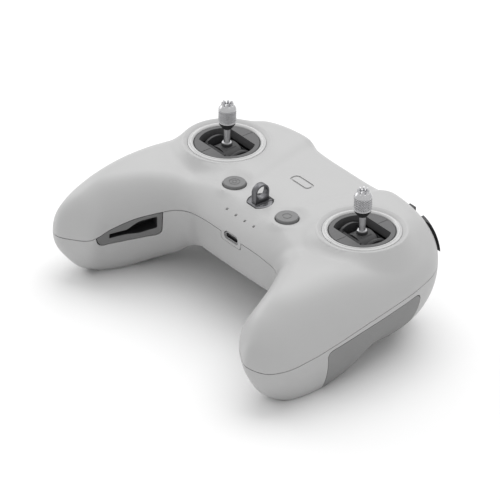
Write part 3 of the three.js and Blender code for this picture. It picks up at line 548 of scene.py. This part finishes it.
def soften(obj, width, segments=4):
    """Rounds the sharp edges of a piece."""
    step = obj.modifiers.new("soften", "BEVEL")
    step.width = width
    step.segments = segments
    step.limit_method = "ANGLE"
    step.angle_limit = math.radians(40)
    graph = bpy.context.evaluated_depsgraph_get()
    result = bpy.data.meshes.new_from_object(obj.evaluated_get(graph))
    obj.modifiers.clear()
    obj.data = result


def key_windows():
    tools = []
    for name, key in KEYS.items():
        size = (key["width"] + 2 * GAP, key["height"] + 2 * GAP, key["inward"] + 1.3, 14)
        tools.append(turned_block(name + "_window", key["x"], key["y"], key["z"], key["heading"], *size))
    return tools + [block(name, low, high) for name, (low, high) in WINDOWS.items()]


def top_shell():
    shell = casing("top_shell_skin", "crown", **FINE, pedestals=True)
    bore = [(0, 30), (PEDESTAL["edge"], 30), (PEDESTAL["edge"], 62), (0, 62), (0, 30)]
    tools = [sweep("bore", bore, 128, side * GIMBAL["x"], GIMBAL["y"], closed=False) for side in (-1, 1)]
    for side in (-1, 1):
        tools.append(deck_hole("button_hole", BUTTON["r"] + GAP, side * BUTTON["x"], BUTTON["y"]))
        r, high = BUTTON["flange_hole"], BUTTON["hole_top"]
        flange = [(0, 40), (r, 40), (r, high), (0, high), (0, 40)]
        tools.append(sweep("flange_hole", flange, 48, side * BUTTON["x"], BUTTON["y"], closed=False))
    outline = band_outline(HOOK["r"] + GAP, HOOK["half"] + GAP)
    seat = extruded("hook_seat", outline, "z", HOOK["base"] - GAP, 62)
    seat.data.transform(Matrix.Translation((0, HOOK["y"], 0)))
    tools += [seat, deck_mark()]
    tools += [led_slot("led_slot", k) for k in (-1.5, -0.5, 0.5, 1.5)]
    tools += key_windows()
    tab = extruded("tab", tab_outline(0), "y", TAB["y"], TAB["y"] + TAB["depth"])
    hole = stadium(PORT["half"], PORT["height"], PORT["z"])
    tab = boolean(tab, [extruded("port_hole", hole, "y", -20, -8)])
    tools.append(extruded("port_hole", hole, "y", -20, -5))
    boolean(shell, tools)
    parts = [shell, tab] + [pedestal_lip("lip", side) for side in (-1, 1)]
    return placed(joined("top_shell_skin", parts), "casing", SHELL, ["top_shell"], sharp=28)


def bottom_shell():
    shell = casing("bottom_shell_skin", "belly", **FINE)
    recess = pad_region("pad_recess", GAP)
    boolean(recess, [casing("pad_floor", "belly", PAD["thickness"] + GAP, 6, 40, skirt=1)])
    insert = facing("insert_recess", insert_outline(0.4), INSERT["depth"] + GAP, 15)
    tools = both_sides(recess) + both_sides(insert)
    tools.append(extruded("tab_notch", tab_outline(GAP), "y", -18, -10.5))
    for x, y, depth in COUNTERBORES:
        for side in (-1, 1):
            profile = [(0, -5), (COUNTERBORE_R, -5), (COUNTERBORE_R, depth), (0, depth), (0, -5)]
            tools.append(sweep("counterbore", profile, 32, side * x, y, closed=False))
    boolean(shell, tools)
    return placed(shell, "casing", SHELL, ["bottom_shell"], sharp=28)


def grip_pads():
    pad = casing("right_pad_skin", "belly", **FINE)
    boolean(pad, [pad_region("pad_keep", 0)], "INTERSECT")
    boolean(pad, [casing("pad_back", "belly", PAD["thickness"], 6, 40, skirt=1)])
    left = mirrored(pad, "left_pad_skin")
    for obj, hand in ((pad, "right"), (left, "left")):
        placed(obj, "casing", PAD_RUBBER, [f"{hand}_grip_pad"])


def storage_inserts():
    insert = casing("right_insert_skin", "belly", **FINE)
    boolean(insert, [facing("insert_keep", insert_outline(0), INSERT["depth"], 15)], "INTERSECT")
    boolean(insert, [facing("pocket", pocket_outline(), 8.2, 20)])
    # Painted shade: a thin black sheet over the pocket's walls and floor makes the recess darker than the
    # insert.
    painted_shade_sheet = casing("right_pocket_painted_shade", "belly", inset=0.25, **FINE)
    boolean(painted_shade_sheet, [facing("painted_shade_keep", shrunk(pocket_outline(), 0.02), 8.18, 20)], "INTERSECT")
    boolean(painted_shade_sheet, [facing("painted_shade_hollow", shrunk(pocket_outline(), 0.2), 8.0, 22)])
    for piece, mat, label, slot in ((insert, INSERT_PLASTIC, "insert", "dark_plastic"),
                                    (painted_shade_sheet, BLACK, "painted_shade_sheet", "black_plastic")):
        left = mirrored(piece, f"left_{label}_skin")
        for obj, hand in ((piece, "right"), (left, "left")):
            nodes = [f"{hand}_storage_insert"] if label == "insert" else []
            placed(obj, "casing", mat, nodes)


# ---------------------------------------------------------------- gimbals
def trim_ring(hand, seat):
    inner, outer, top, low = RING["inner"], RING["outer"] + 0.2, RING["top"], RING["bottom"]
    profile = [(inner, low), (outer, low), (outer, top - 0.7), (outer - 0.15, top - 0.55),
               (inner + 1.6, top - 0.3), (inner + 1.4, top - 0.05), (inner + 1.1, top),
               (inner + 0.75, top - 0.12), (inner + 0.1, top - 0.7), (inner, top - 0.9)]
    ring = sweep(f"{hand}_ring_skin", profile, 128)
    placed(ring, "casing", TRIM, [f"{hand}_gimbal_ring"], offset=seat)


def cover_plate(hand, seat):
    """The dark plate with its band-shaped window, deep window walls and two fine split lines."""
    top = GIMBAL["plate"]
    plate = sweep("plate", [(0, top - 1.2), (COVER["r"], top - 1.2), (COVER["r"], top - 0.25),
                            (COVER["r"] - 0.25, top), (0, top), (0, top - 1.2)], 96, closed=False)
    outline = band_outline(COVER["window"] + 1.1, COVER["half"] + 1.1)
    wall = extruded("wall", outline, "z", COVER["skirt"], top - 0.6)
    boolean(plate, [wall], "UNION")
    cuts = [extruded("window", band_outline(COVER["window"], COVER["half"]), "z", 40, 60)]
    for side in (-1, 1):
        cuts.append(block("split", (-0.14, min(side * 9.2, side * 15.2), top - 0.35),
                          (0.14, max(side * 9.2, side * 15.2), top + 1)))
    boolean(plate, cuts)
    placed(plate, "casing", PLATE, [f"{hand}_gimbal_cover"], offset=seat)


def drum_skin(hand, seat):
    """The tilting barrel with ridged collars, and the slot the stick swings in."""
    z, r, half = GIMBAL["pivot"], DRUM["r"], DRUM["half"]
    stations = [(-half, r - 0.6), (-half + 0.35, r - 0.1), (-half + 0.8, r), (-7.4, r), (-7.2, r - 0.35),
                (-6.6, r - 0.35), (-6.4, r), (-5.6, r), (3.6, r), (5.2, r), (5.4, r - 0.4), (6.1, r - 0.4),
                (6.3, r), (7.4, r), (7.6, r - 0.4), (8.2, r - 0.4), (8.4, r), (half - 0.5, r),
                (half, r - 0.5)]
    rows = []
    for x, radius in stations:
        turn = np.linspace(0, 2 * math.pi, 96, endpoint=False)
        rows.append(np.stack([np.full(96, x), radius * np.sin(turn), z + radius * np.cos(turn)], -1))
    drum = outward(grid(f"{hand}_drum_skin", np.array(rows), closed_v=True, caps=True))
    reach, wide, inner = DRUM["slot"], DRUM["slot_half"], DRUM["inner_half"]
    slot = block("slot", (-reach, -wide, z + 3), (reach, wide, z + 20))
    pin = extruded("pin_hole", circle(PIN["hole"], z), "y", -20, 20)
    middle = block("middle", (-reach, -inner, z - 5), (reach, inner, z + 4.6))
    boolean(drum, [slot, pin, middle])
    placed(drum, f"{hand}_drum", DARK, [f"{hand}_gimbal_drum"], offset=seat)


def shutter(z):
    """The curved apron that swings in the drum's slot with the stick, beside the boot."""
    swing = np.linspace(-SHUTTER["angle"], SHUTTER["angle"], 41)
    outline = []
    for r, turn in ((SHUTTER["r"], swing), (SHUTTER["inner"], swing[::-1])):
        outline += [(r * math.sin(a), z + r * math.cos(a)) for a in turn]
    return extruded("shutter", outline, "y", -SHUTTER["half"], SHUTTER["half"])


def stick_skin(hand, seat):
    """The pyramid boot, collar, bright seat ring and steel shaft."""
    z, plate, r = GIMBAL["pivot"], GIMBAL["plate"], STICK["r"]
    base = [(4.8, z + 5.6), (4.8, plate - 3.9), (4.2, plate - 3.2), (2.9, plate - 1.7), (2.5, plate - 1.5)]
    corners = ((1, 1), (-1, 1), (-1, -1), (1, -1))
    rows = [[(sx * w, sy * w, h) for sx, sy in corners] for w, h in base]
    boot = outward(grid("boot", np.array(rows, float), closed_v=True, caps=True))
    profile = [(0, plate - 2.2), (2.55, plate - 2.2), (2.55, plate - 0.35), (2.35, plate - 0.1),
               (0, plate - 0.1), (0, plate - 2.2)]
    collar = sweep("collar", profile, 48, closed=False)
    core = block("core", (-2.7, -4.7, z - 3), (2.7, 4.7, z + 5.7))
    body = joined(f"{hand}_boot_skin", [boot, collar, core, shutter(z)])
    placed(body, f"{hand}_stick", DARK, [f"{hand}_stick"], offset=seat)
    shaft = sweep(f"{hand}_shaft_skin", [
        (0, plate - 0.3), (2.25, plate - 0.3), (2.3, plate + 0.05), (2.05, plate + 0.3),
        (r + 0.1, plate + 0.32), (r, plate + 0.5), (r, STICK["cap"] - 0.7), (1.2, STICK["cap"] - 0.3),
        (1.2, 69.6), (1.0, 69.9), (0, 69.9), (0, plate - 0.3)], 48, closed=False)
    placed(shaft, f"{hand}_stick", STEEL, offset=seat)
    pin = extruded(f"{hand}_pin_skin", circle(PIN["r"], z), "y", -PIN["end"], PIN["end"])
    placed(pin, f"{hand}_stick", STEEL, offset=seat)


def cone_skin(hand, seat):
    """The dark lock cone under the thumb cap."""
    low, high, r = STICK["cone"], STICK["cap"] - 0.25, STICK["r"] + 0.15
    profile = [(r, low), (1.95, low), (2.2, low + 0.25), (3.75, high - 0.35), (3.85, high - 0.1),
               (3.75, high), (r, high)]
    cone = sweep(f"{hand}_cone_skin", profile, 64)
    placed(cone, f"{hand}_cone", BLACK, [f"{hand}_stick_cone"], offset=seat)


def knurl(angle, height):
    """Depth of the diamond knurling, from 0 on a ridge's tip to 1 in a groove."""
    turns = angle / (2 * math.pi) * CAP["knurls"]
    rows = height * CAP["rows"]
    a = abs((turns + rows) % 1 - 0.5) * 2
    b = abs((turns - rows) % 1 - 0.5) * 2
    return max(1 - 1.5 * min(1 - a, 1 - b), 0)


def cap_profile(angle):
    """The cap's outline at one angle: knurled barrel, chamfered shoulder, toothed crown and hollow."""
    r, low, high = CAP["r"], STICK["cap"] + 0.5, CAP["shoulder"] - 0.4
    pairs = [(0, STICK["cap"]), (3.6, STICK["cap"]), (r - 0.2, STICK["cap"] + 0.3)]
    steps = 56
    for k in range(steps + 1):
        share = k / steps
        fade = min(share, 1 - share) * 9
        pairs.append((r - 0.5 * min(fade, 1) * knurl(angle, share), low + (high - low) * share))
    tooth = abs((angle / (2 * math.pi) * CAP["teeth"]) % 1 - 0.5) * 2
    lift = min(max((tooth - 0.3) / 0.45, 0), 1)
    peak = CAP["crown"] - 1.25 * (1 - lift)
    top = CAP["shoulder"]
    pairs += [(r - 0.12, top - 0.05), (r - 0.35, top + 0.25), (3.1, top + 1.25), (2.95, top + 1.35),
              (2.9, top + 1.45), (2.75, peak - 0.2), (2.6, peak), (2.0, peak - 0.1), (1.75, peak - 0.35),
              (1.7, top + 0.9), (1.5, top + 0.75), (0, top + 0.75)]
    return pairs


def thumb_cap(hand, seat):
    cap = sweep(f"{hand}_cap_skin", cap_profile, 264)
    placed(cap, f"{hand}_cap", KNURL, [f"{hand}_thumb_cap"], sharp=40, offset=seat)


def gimbals():
    for hand, side in (("left", -1), ("right", 1)):
        seat = (side * GIMBAL["x"], GIMBAL["y"], 0)
        for build in (trim_ring, cover_plate, drum_skin, stick_skin, cone_skin, thumb_cap):
            build(hand, seat)


# ---------------------------------------------------------------- centre pieces
def round_button(name, side, marks):
    """A satin disc with a softly dished top and engraved rings."""
    r, top, low = BUTTON["r"], BUTTON["top"], BUTTON["bottom"]
    flange, step = BUTTON["flange_r"], BUTTON["flange_top"]
    pairs = [(0, low), (flange, low), (flange, step), (r, step + 0.05), (r, top - 0.45),
             (r - 0.1, top - 0.2), (r - 0.3, top - 0.04), (r - 0.55, top), (r - 1.3, top - 0.03)]
    for inner, outer in marks:
        pairs += [(outer, top - 0.12), (outer - 0.05, top - 0.3)]
        pairs += [(inner + 0.05, top - 0.3), (inner, top - 0.12)]
    pairs += [(0, top - 0.14)]
    button = sweep(name + "_skin", pairs + [pairs[0]], 96, side * BUTTON["x"], BUTTON["y"], closed=False)
    placed(button, name, KEY, [name])


def hook_loop():
    """The loop: a plate with a round eye, rounded along both rims."""
    half, width, eye, eye_r = 4.0, HOOK["width"] / 2, HOOK["eye"], HOOK["eye_r"]
    low = HOOK["top"] - 0.3
    section = [(0.0, width - 0.35), (0.09, width - 0.1), (0.25, width), (0.75, width), (0.91, width - 0.1),
               (1.0, width - 0.35), (1.0, -width + 0.35), (0.91, -width + 0.1), (0.75, -width),
               (0.25, -width), (0.09, -width + 0.1), (0.0, -width + 0.35)]
    rows = []
    for angle in np.linspace(0, 2 * math.pi, 96, endpoint=False):
        c, s = math.cos(angle), math.sin(angle)
        reach = half if s >= 0 else min(half / max(abs(c), 1e-6), (eye - low) / max(-s, 1e-6))
        radii = [(x, eye_r + (reach - eye_r) * t) for t, x in section]
        rows.append([(x, radius * c, eye + radius * s) for x, radius in radii])
    return outward(grid("loop", np.array(rows), closed_u=True, closed_v=True))


def lanyard_hook():
    """The loop on its flat foot, with one ledge and the stem that holds it in the deck."""
    r, half, top, base = HOOK["r"], HOOK["half"], HOOK["top"], HOOK["base"]
    rows = []
    for dr, z in ((0, base - 0.3), (0, top - 0.6), (0.12, top - 0.3), (0.4, top - 0.1), (0.9, top)):
        rows.append([(x, y, z) for x, y in band_outline(r - dr, half - dr, 24)])
    foot = outward(grid("foot", np.array(rows, float), closed_v=True, caps=True))
    corners = [(-0.35, top - 0.5), (0.35, top - 0.5), (0.35, top + 0.3), (-0.35, top + 0.3)]
    rail = rounded_outline(corners, 0.15, 3)
    ledge = extruded("rail", [(x + 2.3, z) for x, z in rail], "y", -half + 0.3, half - 0.3)
    profile = [(0, 47.2), (1.9, 47.2), (1.9, base + 0.2), (0, base + 0.2), (0, 47.2)]
    stem = sweep("stem", profile, 32, closed=False)
    hook = joined("lanyard_hook_skin", [foot, stem, hook_loop(), ledge])
    hook.data.transform(Matrix.Translation((0, HOOK["y"], 0)))
    placed(hook, "casing", GUNMETAL, ["lanyard_hook"])


def centre_pieces():
    round_button("power_button", 1, [(1.75, 2.15)])
    round_button("custom_button", -1, [(2.2, 2.55), (0.9, 1.2)])
    lanyard_hook()


# ---------------------------------------------------------------- carried-over CAD nodes
def carried_over():
    """CAD pieces whose shape is right get a worked material and smooth shading."""
    groups = {
        DARK: ["flight_mode_switch", "right_toggle", "left_toggle", "gimbal_dial"],
        BLACK: ["usb_port_tongue", "buzzer", "battery_holder", "power_tact_switch", "custom_tact_switch"],
        PORT_STEEL: ["usb_port_shell", "dial_axle"], BOARD: ["main_board", "button_board"],
        CELL: ["battery_cell"], CLEAR: ["status_light_guide"],
    }
    for hand in ("left", "right"):
        groups[BLACK] += [f"{hand}_gimbal_housing", f"{hand}_gimbal_ribbon"]
        groups[BOARD] += [f"{hand}_gimbal_sensor", f"{hand}_antenna"]
        groups[PORT_STEEL] += [f"{hand}_{where}_screw" for where in ("grip", "front", "rear")]
    for mat, names in groups.items():
        for name in names:
            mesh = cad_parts[name].data
            mesh.materials.clear()
            mesh.materials.append(mat)
            mesh.shade_smooth()
            mesh.set_sharp_from_angle(angle=math.radians(30))


# ---------------------------------------------------------------- studio
def studio():
    corners = [(-6, -6, 0), (6, -6, 0), (6, 6, 0), (-6, 6, 0)]
    floor = new_object("studio_floor_plane", corners, [(0, 1, 2, 3)])
    floor.location.z = -0.0001
    floor.data.materials.append(FLOOR)
    world = bpy.data.worlds.new("studio_world")
    world.use_nodes = True
    sky = world.node_tree.nodes["Background"]
    sky.inputs["Color"].default_value = (1, 1, 1, 1)
    sky.inputs["Strength"].default_value = 0.8
    bpy.context.scene.world = world
    bpy.context.scene.view_settings.view_transform = "Standard"
    area_light("overhead", (-0.25, 0.45, 1.1), (0, 0, 0), 1.5, 10.5)
    area_light("left_window", (-1.3, -0.2, 0.7), (0, 0, 0.03), 0.8, 3.8)


def area_light(name, position, target, size, power):
    light = bpy.data.lights.new(name, "AREA")
    light.size = size
    light.energy = power
    obj = bpy.data.objects.new(name, light)
    bpy.context.scene.collection.objects.link(obj)
    obj.location = position
    obj.rotation_euler = (Vector(target) - Vector(position)).to_track_quat("-Z", "Y").to_euler()


def camera():
    """A long lens from the user's right, at the photograph's angle."""
    azimuth, elevation, roll = [math.radians(CAMERA[key]) for key in ("azimuth", "elevation", "roll")]
    back = Vector((math.sin(azimuth) * math.cos(elevation), -math.cos(azimuth) * math.cos(elevation),
                   math.sin(elevation)))
    right = Vector((math.cos(azimuth), math.sin(azimuth), 0))
    up = back.cross(right)
    across = math.cos(roll) * right + math.sin(roll) * up
    upwards = -math.sin(roll) * right + math.cos(roll) * up
    x, y, z = CAMERA["target"]
    target = Vector((x, ORIGIN_Y + y, z)) + CAMERA["across"] * across + CAMERA["up"] * upwards
    place = (target + CAMERA["distance"] * back) * 0.001
    data = bpy.data.cameras.new("camera")
    data.lens = CAMERA["lens"]
    data.sensor_width = 36
    data.clip_end = 50
    obj = bpy.data.objects.new("camera", data)
    bpy.context.scene.collection.objects.link(obj)
    turn = Matrix((across, upwards, back)).transposed().to_4x4()
    obj.matrix_world = Matrix.Translation(place) @ turn
    bpy.context.scene.camera = obj


top_shell()
bottom_shell()
grip_pads()
storage_inserts()
gimbals()
centre_pieces()
for key_name in KEYS:
    rounded_key(key_name)
carried_over()
studio()
camera()
